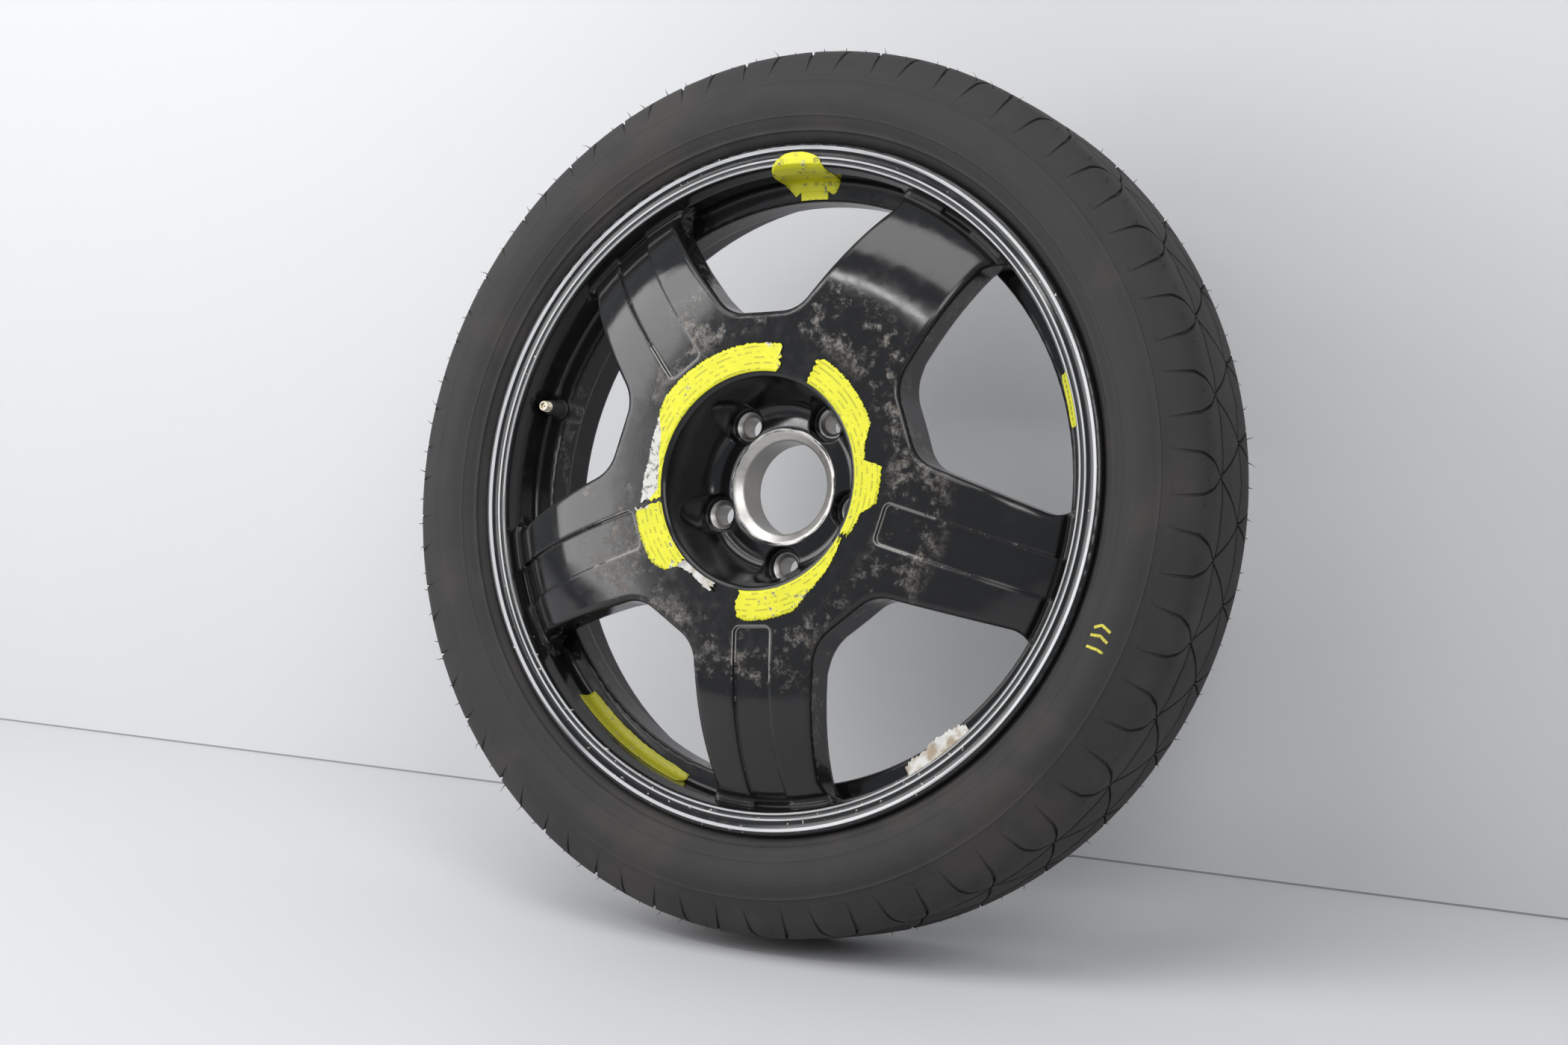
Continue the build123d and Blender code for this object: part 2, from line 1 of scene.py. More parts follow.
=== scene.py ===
"""Looks of a temporary spare wheel: painted alloy wheel, narrow tyre, air valve and torn labels.

The CAD model is the fixed frame. Everything is in metres, with the axle along Y, the outer face
towards -Y and the origin on the axle at the hub's mounting face. Sizes of details are written in
millimetres and turned into metres where a mesh is made.
"""
import math
import random

import bpy
import numpy as np
from bpy.props import FloatProperty, FloatVectorProperty, IntProperty, PointerProperty
from mathutils import Matrix, Vector


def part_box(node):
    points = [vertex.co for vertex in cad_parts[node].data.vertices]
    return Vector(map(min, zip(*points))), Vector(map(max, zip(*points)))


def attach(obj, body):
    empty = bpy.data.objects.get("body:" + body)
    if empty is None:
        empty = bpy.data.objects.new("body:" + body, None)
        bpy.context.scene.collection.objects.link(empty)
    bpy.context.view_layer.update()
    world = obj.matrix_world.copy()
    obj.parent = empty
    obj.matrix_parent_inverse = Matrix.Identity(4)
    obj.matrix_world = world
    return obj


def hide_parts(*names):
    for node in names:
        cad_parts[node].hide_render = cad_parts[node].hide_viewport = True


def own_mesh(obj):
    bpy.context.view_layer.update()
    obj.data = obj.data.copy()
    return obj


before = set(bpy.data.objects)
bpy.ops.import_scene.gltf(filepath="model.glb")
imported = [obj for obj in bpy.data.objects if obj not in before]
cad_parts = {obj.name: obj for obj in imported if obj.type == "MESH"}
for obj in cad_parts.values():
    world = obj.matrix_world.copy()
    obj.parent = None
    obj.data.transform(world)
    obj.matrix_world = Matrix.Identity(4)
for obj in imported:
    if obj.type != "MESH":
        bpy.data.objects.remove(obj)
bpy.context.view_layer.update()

bl_info = {
    "name": "Spare wheel looks",
    "version": (1, 0, 0),
    "blender": (4, 5, 0),
    "location": "3D View > Sidebar > Spare wheel",
    "description": "Tyre, paint, valve and label details around the CAD model of a spare wheel",
    "category": "Object",
}

MM = 0.001
SPOKES = 5
SPOKE_ANGLE = 54.0
TYRE_MIDDLE = 14.2
VALVE_LOW, VALVE_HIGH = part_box("valve_stem")
TYRE_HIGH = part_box("tyre")[1]
PLATEAU_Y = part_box("hub_label_upper")[1].y / MM


class Wire:
    """A shader socket that Python's operators work on; an expression adds its Math nodes."""

    def __init__(self, tree, socket):
        self.tree = tree
        self.socket = socket

    def add(self, kind, settings=None, inputs=None, output=0):
        """Adds one node with its settings and the values or links of its sockets."""
        node = self.tree.nodes.new(kind)
        for name, value in (settings or {}).items():
            setattr(node, name, value)
        for name, value in (inputs or {}).items():
            if isinstance(value, Wire):
                self.tree.links.new(value.socket, node.inputs[name])
            else:
                node.inputs[name].default_value = value
        return Wire(self.tree, node.outputs[output])

    def math(self, operation, *values):
        return self.add("ShaderNodeMath", {"operation": operation}, dict(enumerate(values)))

    def __add__(self, other):
        return self.math("ADD", self, other)

    def __radd__(self, other):
        return self.math("ADD", other, self)

    def __sub__(self, other):
        return self.math("SUBTRACT", self, other)

    def __rsub__(self, other):
        return self.math("SUBTRACT", other, self)

    def __mul__(self, other):
        return self.math("MULTIPLY", self, other)

    def __rmul__(self, other):
        return self.math("MULTIPLY", other, self)

    def __truediv__(self, other):
        return self.math("DIVIDE", self, other)

    def __neg__(self):
        return self.math("MULTIPLY", self, -1.0)

    def rise(self, low, high):
        """A smooth step from 0 at low to 1 at high."""
        return self.add("ShaderNodeMapRange", {"interpolation_type": "SMOOTHSTEP"},
                        {"Value": self, "From Min": low, "From Max": high})

    def band(self, low, high, soft):
        """1 between two values, with soft sides."""
        return self.rise(low - soft, low) * (1 - self.rise(high, high + soft))

    def either(self, other):
        return self.math("MAXIMUM", self, other)

    def limit(self):
        return self.math("MINIMUM", self.math("MAXIMUM", self, 0.0), 1.0)

    def split(self):
        """The three values of a vector."""
        return [self.add("ShaderNodeSeparateXYZ", None, {0: self}, part) for part in range(3)]

    def scaled(self, factors):
        return self.add("ShaderNodeVectorMath", {"operation": "MULTIPLY"}, {0: self, 1: factors})

    def noise(self, scale, detail=3.0, roughness=0.55):
        """Cloudy noise from 0 to 1 over a vector."""
        return self.add("ShaderNodeTexNoise", None,
                        {"Vector": self, "Scale": scale, "Detail": detail, "Roughness": roughness})

    def cells(self, scale, feature="F1"):
        """Distance in a pattern of cells over a vector."""
        return self.add("ShaderNodeTexVoronoi", {"feature": feature}, {"Vector": self, "Scale": scale})

    def blend(self, first, second):
        """One colour where this wire is 0 and another where it is 1."""
        return self.add("ShaderNodeMix", {"data_type": "RGBA"},
                        {"Factor": self, 6: first, 7: second}, 2)

    def between(self, first, second):
        """One value where this wire is 0 and another where it is 1."""
        return self.add("ShaderNodeMix", {"data_type": "FLOAT"}, {0: self, 2: first, 3: second})

    def vector(self, x, y, z):
        return self.add("ShaderNodeCombineXYZ", None, {0: x, 1: y, 2: z})

    def bump(self, strength, distance, **over):
        """A bumped normal with this wire as its height, over another normal if one is given."""
        inputs = {"Strength": strength, "Distance": distance, "Height": self}
        return self.add("ShaderNodeBump", None, {**inputs, **over})

    def rounded(self, radius):
        """The normal of a surface whose sharp edges are rounded."""
        return self.add("ShaderNodeBevel", {"samples": 6}, {"Radius": radius * MM})

    def dot(self, other):
        return self.add("ShaderNodeVectorMath", {"operation": "DOT_PRODUCT"}, {0: self, 1: other}, "Value")


def colour(values):
    """A property's colour as four numbers."""
    return (*tuple(values)[:3], 1.0)


def darker(values, share):
    """A property's colour with a share of its brightness."""
    return (*(value * share for value in tuple(values)[:3]), 1.0)


def start_material(name):
    """A new material, its shader and a wire with the place on the part in millimetres."""
    material = bpy.data.materials.new(name)
    material.use_nodes = True
    tree = material.node_tree
    shader = tree.nodes["Principled BSDF"]
    start = Wire(tree, None)
    place = start.add("ShaderNodeTexCoord", None, None, "Object").scaled((1 / MM,) * 3)
    return material, shader, place


def feed(shader, **values):
    """Links wires to the shader, or sets its sockets to plain values."""
    for name, value in values.items():
        socket = shader.inputs[name.replace("_", " ").title().replace("Ior", "IOR")]
        if isinstance(value, Wire):
            value.tree.links.new(value.socket, socket)
        else:
            socket.default_value = value


def round_axle(place):
    """Distance from the axle, angle round it in degrees, and y, of a place."""
    x, y, z = place.split()
    radius = (x * x + z * z).math("SQRT", x * x + z * z)
    angle = place.math("DEGREES", place.math("ARCTAN2", z, x))
    return radius, angle, y


def along_spoke(radius, angle):
    """Places along and across the nearest spoke."""
    turn = radius.math("RADIANS", radius.math("WRAP", angle - SPOKE_ANGLE, 180 / SPOKES, -180 / SPOKES))
    return radius * radius.math("COSINE", turn), radius * radius.math("SINE", turn)


def front_facing(place):
    """How far the surface looks to the outer side, from -1 to 1."""
    normal = place.add("ShaderNodeNewGeometry", None, None, "Normal")
    return -normal.split()[1]


def dress(node, material):
    """Gives a CAD node one material."""
    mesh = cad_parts[node].data
    mesh.materials.clear()
    mesh.materials.append(material)


def new_piece(name, points, faces, material, replaced=()):
    """A mesh piece in the part's own frame, from points in millimetres, that rides on the wheel."""
    mesh = bpy.data.meshes.new(name)
    mesh.from_pydata([tuple(value * MM for value in point) for point in points], [], faces)
    mesh.validate()
    mesh.materials.append(material)
    piece = bpy.data.objects.new(name, mesh)
    bpy.context.scene.collection.objects.link(piece)
    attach(piece, "wheel")
    if replaced:
        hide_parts(*replaced)
    return piece


def on_wheel(radius, angle, y):
    """A point from its distance from the axle, its angle in degrees and y."""
    turn = math.radians(angle)
    return radius * math.cos(turn), y, radius * math.sin(turn)


def distances(points):
    """How far along a line each of its points is."""
    return np.concatenate(([0.0], np.cumsum(np.hypot(*np.diff(points, axis=0).T))))


def smooth(piece, sharp_degrees):
    """Smooth shading, with edges sharper than an angle kept."""
    piece.data.shade_smooth()
    piece.data.set_sharp_from_angle(angle=math.radians(sharp_degrees))


class TyreSettings(bpy.types.PropertyGroup):
    """Sizes and colours of the tyre."""

    pitches: IntProperty(name="Tread pitches", description="Repeats of the tread round the tyre",
                         default=36, min=12, max=80)
    groove_width: FloatProperty(name="Groove width", description="Width of a tread groove in mm",
                                default=2.6, min=0.5, max=8.0)
    groove_depth: FloatProperty(name="Groove depth", description="Depth of a tread groove in mm",
                                default=3.0, min=0.2, max=8.0)
    whiskers: IntProperty(name="Whiskers", description="Rubber whiskers round each shoulder",
                          default=108, min=0, max=400)
    whisker_length: FloatProperty(name="Whisker length", description="Longest whisker in mm",
                                  default=5.5, min=0.0, max=12.0)
    rubber: FloatVectorProperty(name="Rubber", description="Colour of the rubber", subtype="COLOR",
                                default=(0.022, 0.021, 0.021), min=0.0, max=1.0)
    dust: FloatVectorProperty(name="Dust", description="Colour of dry dust on the rubber", subtype="COLOR",
                              default=(0.050, 0.044, 0.040), min=0.0, max=1.0)
    crayon: FloatVectorProperty(name="Crayon", description="Colour of the crayon strokes", subtype="COLOR",
                                default=(0.62, 0.55, 0.06), min=0.0, max=1.0)


class PaintSettings(bpy.types.PropertyGroup):
    """Colours and wear of the painted wheel and the valve."""

    paint: FloatVectorProperty(name="Paint", description="Colour of the gloss paint", subtype="COLOR",
                               default=(0.0065, 0.0065, 0.007), min=0.0, max=1.0)
    scuff: FloatVectorProperty(name="Scuffs", description="Colour of rubbed paint", subtype="COLOR",
                               default=(0.17, 0.155, 0.14), min=0.0, max=1.0)
    metal: FloatVectorProperty(name="Bare metal", description="Colour of bare aluminium", subtype="COLOR",
                               default=(0.62, 0.60, 0.57), min=0.0, max=1.0)
    wear: FloatProperty(name="Wear", description="Share of rubbed and chipped paint", default=1.0,
                        min=0.0, max=2.0, subtype="FACTOR")
    brass: FloatVectorProperty(name="Brass", description="Colour of the valve's metal", subtype="COLOR",
                               default=(0.55, 0.47, 0.34), min=0.0, max=1.0)


class LabelSettings(bpy.types.PropertyGroup):
    """Colours of the labels."""

    yellow: FloatVectorProperty(name="Yellow", description="Colour of the printed film", subtype="COLOR",
                                default=(0.72, 0.70, 0.015), min=0.0, max=1.0)
    olive: FloatVectorProperty(name="Olive", description="Colour of the worn rim label", subtype="COLOR",
                               default=(0.44, 0.42, 0.02), min=0.0, max=1.0)
    paper: FloatVectorProperty(name="Paper", description="Colour of the torn paper", subtype="COLOR",
                               default=(0.56, 0.55, 0.52), min=0.0, max=1.0)
    ink: FloatVectorProperty(name="Ink", description="Colour of the printed bars", subtype="COLOR",
                             default=(0.02, 0.02, 0.015), min=0.0, max=1.0)


class StageSettings(bpy.types.PropertyGroup):
    """Floor, wall, lamps and camera."""

    lean: FloatProperty(name="Lean", description="How far the wheel leans back", default=math.radians(12.0),
                        subtype="ANGLE")
    turn: FloatProperty(name="Turn", description="How far the wheel is rolled round its axle",
                        default=math.radians(4.6), subtype="ANGLE")
    wall_gap: FloatProperty(name="Wall", description="Distance from the hub to the wall", default=0.287,
                            unit="LENGTH")
    drop: FloatProperty(name="Floor", description="Distance from the hub down to the floor", default=0.3185,
                        unit="LENGTH")
    backdrop: FloatVectorProperty(name="Backdrop", description="Colour of the floor and wall",
                                  subtype="COLOR", default=(0.62, 0.62, 0.63), min=0.0, max=1.0)
    lens: FloatProperty(name="Lens", description="Focal length in mm for a 36 mm wide frame", default=61.714)


# Outside of the tyre, read from the CAD solid

def tyre_profile(steps):
    """Points (radius, y) of the tyre's outside from front bead to back bead, in millimetres."""
    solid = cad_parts["tyre"]
    middle_radius = 270.0
    reach = 120.0
    widest_turn = 112.0
    points = []
    for step in range(steps + 1):
        turn = math.radians(-widest_turn + 2 * widest_turn * step / steps)
        outward = Vector((0, math.sin(turn), math.cos(turn)))
        middle = Vector((0, TYRE_MIDDLE, middle_radius))
        hit, place, _, _ = solid.ray_cast((middle + outward * reach) * MM, -outward)
        if not hit:
            raise RuntimeError("no tyre surface at " + str(math.degrees(turn)))
        points.append((place.z / MM, place.y / MM))
    return np.array(points)


class TyreSurface:
    """The tyre's outside as a line that is measured from the middle of the tread."""

    def __init__(self):
        self.points = tyre_profile(480)
        self.run = distances(self.points)
        self.run -= self.run[len(self.run) // 2]
        self.first = self.run[0]
        self.last = self.run[-1]

    def at(self, run):
        """Radius and y at a distance from the tread's middle, towards +Y."""
        return (np.interp(run, self.run, self.points[:, 0]), np.interp(run, self.run, self.points[:, 1]))

    def outward(self, run):
        """The outward direction (radial, axial) at a distance from the tread's middle."""
        r0, y0 = self.at(run - 0.6)
        r1, y1 = self.at(run + 0.6)
        length = math.hypot(r1 - r0, y1 - y0)
        return (y1 - y0) / length, (r0 - r1) / length

    def run_at_radius(self, radius):
        """Distance from the tread's middle, on the front wall, where the wall has a radius."""
        front = self.run < 0
        order = np.argsort(self.points[front, 0])
        return np.interp(radius, self.points[front, 0][order], self.run[front][order])


def groove_place(run, half_pitch):
    """Where the slanting groove crosses a row: its distance round the tread from the pitch's middle."""
    rows = (-66.0, -44.0, -34.0, -19.5, 19.5, 34.0, 44.0, 66.0)
    near, far = 12.5, 16.5
    places = (far, near + 1.5, near - 3.0, 0.0, half_pitch, half_pitch - near + 3.0,
              half_pitch - near - 1.5, half_pitch - far)
    return float(np.interp(run, rows, places))


# Tread: the two rings' distance from the middle, how far they sway and over which width, the end of the
# slanting grooves, the grooves' slanting sides, points in half a pitch, rows on the tread and on a wall
RING_ROW = 17.0
RING_SWAY = 2.6
SWAY_WIDTH = 9.0
ARM_END = 66.0
GROOVE_WALL = 0.35
GROOVE_STEPS = 7
TREAD_ROWS = 58
WALL_ROWS = 26
# Share of the grooves' depth and of their width at distances from the tread's middle
GROOVE_FADE = ((30.0, 44.0, 56.0, ARM_END), (1.0, 0.62, 0.22, 0.03))
GROOVE_NARROWING = ((44.0, ARM_END), (1.0, 0.6))
# Fine rings moulded on the walls: radius, half width and height in mm
WALL_RIDGES = ((253.0, 1.3, 0.9), (262.5, 0.5, 0.25), (288.0, 0.6, 0.4))
# Inside of the tyre: radius and half width
TYRE_INSIDE = ((243.0, 46.0), (231.2, 44.3), (229.8, 28.7), (236.0, 28.7), (262.0, 50.0), (290.0, 47.0),
               (304.0, 24.0))


def tread_rows(surface, width):
    """Distances from the tread's middle at which the tyre's mesh has a row."""
    half = width / 2
    plain = np.linspace(-ARM_END - 1.2, ARM_END + 1.2, TREAD_ROWS)
    rows = {row for row in plain if abs(abs(row) - RING_ROW) > half}
    for side in (-1, 1):
        ring = (-half, GROOVE_WALL - half, half - GROOVE_WALL, half)
        rows |= {side * (RING_ROW + offset) for offset in ring}
        rows |= {side * (ARM_END + offset) for offset in (-1.0, 0.0)}
        rows |= {side * row for row in np.linspace(ARM_END + 3.0, surface.last, WALL_ROWS)}
        for middle, half_width, _ in WALL_RIDGES:
            run = surface.run_at_radius(middle)
            rows |= {side * (run + offset) for offset in (-half_width, 0.0, half_width)}
    return sorted({round(row, 3) for row in rows})


class SPAREWHEEL_OT_tyre(bpy.types.Operator):
    """Builds the tyre with its tread grooves, mould lines and whiskers"""

    bl_idname = "sparewheel.tyre"
    bl_label = "Build the tyre"

    def execute(self, context):
        settings = context.scene.sparewheel_tyre
        surface = TyreSurface()
        rubber = rubber_material(settings)
        build_tyre(surface, settings, rubber)
        build_whiskers(surface, settings, rubber)
        build_crayon(surface, settings)
        return {"FINISHED"}


def ridge_height(radius):
    """Height of the fine moulded rings on the wall at a radius."""
    return max(tall * max(0.0, 1 - abs(radius - middle) / half) for middle, half, tall in WALL_RIDGES)


def build_tyre(surface, settings, material):
    """The tyre's outside with grooves cut to depth, closed by a plain inside."""
    columns = settings.pitches * 2 * GROOVE_STEPS
    lines = []
    for row in tread_rows(surface, settings.groove_width):
        line = []
        for pitch in range(settings.pitches):
            middle_angle = 90.0 + 360.0 / settings.pitches * pitch
            for side, steps in ((-1, reversed(range(GROOVE_STEPS))), (1, range(GROOVE_STEPS))):
                line += [tread_point(surface, settings, row, step, side, middle_angle) for step in steps]
        lines.append(line)
    front_half = [(radius, -half) for radius, half in reversed(TYRE_INSIDE)]
    for radius, half in [*TYRE_INSIDE, *front_half]:
        lines.append([on_wheel(radius, 90.0 + 360.0 * (column + 0.5) / columns, TYRE_MIDDLE + half)
                      for column in range(columns)])
    points = [point for line in lines for point in line]
    faces = []
    for here in range(len(lines)):
        there = (here + 1) % len(lines)
        for column in range(columns):
            after = (column + 1) % columns
            faces.append((here * columns + column, there * columns + column,
                          there * columns + after, here * columns + after))
    piece = new_piece("tyre_rubber", points, faces, material, ["tyre"])
    smooth(piece, 32.0)


def tread_point(surface, settings, row, step, side, middle_angle):
    """One point of the tyre's outside: a row across the tread and a step in half a pitch."""
    half_pitch = math.pi * TYRE_HIGH.z / MM / settings.pitches
    half = settings.groove_width / 2 * float(np.interp(abs(row), *GROOVE_NARROWING))
    place = groove_place(row, half_pitch)
    edges = (0.0, place / 2, place - half, place - half + GROOVE_WALL, place + half - GROOVE_WALL,
             place + half, (place + half_pitch) / 2)
    around = min(max(edges[step], 0.0), half_pitch)
    sway = RING_SWAY * math.exp(-((abs(row) - RING_ROW) / SWAY_WIDTH) ** 2)
    run = row + sway * (2 * around / half_pitch - 1) * (1 if row < 0 else -1)
    radius, y = surface.at(run)
    out_r, out_y = surface.outward(run)
    in_slant = step in (3, 4) and abs(row) < ARM_END - 0.5
    in_ring = abs(abs(row) - RING_ROW) < settings.groove_width / 2 - 0.2
    depth = -ridge_height(radius)
    if in_slant or in_ring:
        depth = settings.groove_depth * float(np.interp(abs(row), *GROOVE_FADE))
    angle = middle_angle + side * around / half_pitch * 180.0 / settings.pitches
    return on_wheel(radius - out_r * depth, angle, y - out_y * depth)


# Whiskers: row on the shoulder, how far they stray from it, half thickness, sink, lean and bend
WHISKER_ROW = 41.0
WHISKER_STRAY = (-2.5, 3.0)
WHISKER_THICK = 0.42
WHISKER_SINK = 0.3
WHISKER_LEAN = 0.7
WHISKER_BEND = 0.5


def build_whiskers(surface, settings, material):
    """Thin moulding whiskers that stand out of both shoulders."""
    draw = random.Random(7)
    points = []
    faces = []
    for side in (-1, 1):
        for count in range(settings.whiskers):
            run = side * (WHISKER_ROW + draw.uniform(*WHISKER_STRAY))
            angle = 360.0 / settings.whiskers * (count + draw.uniform(-0.18, 0.18))
            length = settings.whisker_length * draw.uniform(0.35, 1.0)
            radius, y = surface.at(run)
            out_r, out_y = surface.outward(run)
            lean = draw.uniform(-WHISKER_LEAN, WHISKER_LEAN)
            bend = draw.uniform(-WHISKER_BEND, WHISKER_BEND)
            first = len(points)
            for level in range(4):
                share = level / 3
                thick = WHISKER_THICK * (1 - 0.75 * share)
                high = length * share - WHISKER_SINK
                along = lean * length * share * share
                across = bend * length * share * share
                for corner in range(4):
                    turn = math.tau * corner / 4
                    point_r = radius + out_r * high + thick * math.cos(turn) * out_y
                    point_y = y + out_y * high + across - thick * math.cos(turn) * out_r
                    point_a = angle + math.degrees((along + thick * math.sin(turn)) / radius)
                    points.append(on_wheel(point_r, point_a, point_y))
            for level in range(3):
                for corner in range(4):
                    low = first + 4 * level
                    after = (corner + 1) % 4
                    faces.append((low + corner, low + after, low + 4 + after, low + 4 + corner))
            faces.append(tuple(first + 12 + corner for corner in range(4)))
    piece = new_piece("tyre_whiskers", points, faces, material)
    smooth(piece, 60.0)


# Crayon strokes on the front wall: middle angle and radius, points round and up from there, half width, lift
CRAYON_ANGLE = 336.5
CRAYON_RADIUS = 270.5
CRAYON_STROKES = (((-8.5, -6.0), (-7.5, 2.0), (-8.0, 7.0)), ((-1.0, 7.0), (1.5, 1.0), (-0.5, -6.5)),
                  ((5.0, -6.0), (8.5, -1.0), (6.0, 6.5)))
CRAYON_HALF = 0.95
CRAYON_LIFT = 0.12


def build_crayon(surface, settings):
    """Three plain crayon strokes on the front wall."""
    points = []
    faces = []
    steps = 14
    for stroke in CRAYON_STROKES:
        first = len(points)
        line = np.array([[np.interp(place, range(len(stroke)), [point[axis] for point in stroke])
                          for axis in (0, 1)] for place in np.linspace(0, len(stroke) - 1, steps)])
        slope = np.gradient(line, axis=0)
        slope /= np.linalg.norm(slope, axis=1)[:, None]
        for (around, up), (du, dv) in zip(line, slope):
            for side in (-1, 1):
                radius = CRAYON_RADIUS + up + side * CRAYON_HALF * du
                run = surface.run_at_radius(radius)
                wall_r, wall_y = surface.at(run)
                out_r, out_y = surface.outward(run)
                angle = CRAYON_ANGLE + math.degrees((around - side * CRAYON_HALF * dv) / CRAYON_RADIUS)
                points.append(on_wheel(wall_r + out_r * CRAYON_LIFT, angle, wall_y + out_y * CRAYON_LIFT))
        for step in range(steps - 1):
            low = first + 2 * step
            faces.append((low, low + 1, low + 3, low + 2))
    piece = new_piece("crayon_strokes", points, faces, crayon_material(settings))
    smooth(piece, 60.0)


# Radii between which the wall passes into the tread
WALL_END = (296.0, 306.0)


def rubber_material(settings):
    """Dry rubber with fine rings on the walls, dust and faint streaks."""
    material, shader, place = start_material("dry_rubber")
    radius, angle, y = round_axle(place)
    cloud = place.noise(0.014, 4.0)
    grain = place.noise(1.6, 3.0)
    ring_place = place.vector(radius * 1.1, angle * 0.02, y * 0.4)
    rings = ring_place.noise(1.0, 2.0)
    wall = 1 - radius.rise(*WALL_END)
    dust = (cloud.rise(0.44, 0.72) * 0.55 + rings.rise(0.5, 0.75) * 0.25 * wall + 0.06).limit()
    speck = (1 - place.cells(0.22).rise(0.02, 0.09)) * place.noise(0.03, 2.0).rise(0.52, 0.66)
    base = dust.blend(colour(settings.rubber), colour(settings.dust))
    base = (speck * 0.5).blend(base, (0.12, 0.10, 0.085, 1.0))
    height = grain * 0.35 + rings * 0.5 * wall
    feed(shader, base_color=base, roughness=(0.62 + cloud * 0.22 + grain * 0.06),
         normal=height.bump(0.35, 0.0006))
    shader.inputs["Specular IOR Level"].default_value = 0.42
    return material


def crayon_material(settings):
    """Waxy crayon that skips over the rubber's grain."""
    material, shader, place = start_material("yellow_crayon")
    skips = place.noise(0.9, 3.0).rise(0.34, 0.5)
    base = skips.blend(colour(settings.rubber), colour(settings.crayon))
    feed(shader, base_color=base, roughness=0.75)
    return material


class SPAREWHEEL_OT_paint(bpy.types.Operator):
    """Paints the cast wheel and wears the paint where it is rubbed and chipped"""

    bl_idname = "sparewheel.paint"
    bl_label = "Paint the wheel"

    def execute(self, context):
        dress("alloy_wheel", wheel_material(context.scene.sparewheel_paint))
        return {"FINISHED"}


# Places on the wheel, as bands of the distance from the axle or of y, and the angle of the chipped side
LOW_SIDE = 262.0
SHOULDER = (112.0, 138.0)
NEAR_HUB = (120.0, 150.0)
WORN_EDGES = (98.0, 205.0)
FACE_DEPTH = (-75.0, -30.0)
WINDOW_WALLS = (112.0, 222.0)
LIP = (225.5, 243.0)
LIP_BACK = (-37.0, -35.0)
RIDGES_BACK = (-38.6, -38.0)
LIP_RIDGES = ((239.6, 241.4, 0.5), (232.9, 233.8, 0.4), (228.8, 229.7, 0.4))
BOLT_CIRCLE = 56.0
SEAT_EDGE = (10.3, 10.7)
SEAT_DEPTH = (-21.2, -20.6)
BORE_EDGE = (39.4, 40.2)
BORE_RING = (39.6, 41.2)
PAD_EDGE = (76.4, 77.2)
PAD_PLANE = (-0.35, -0.15)


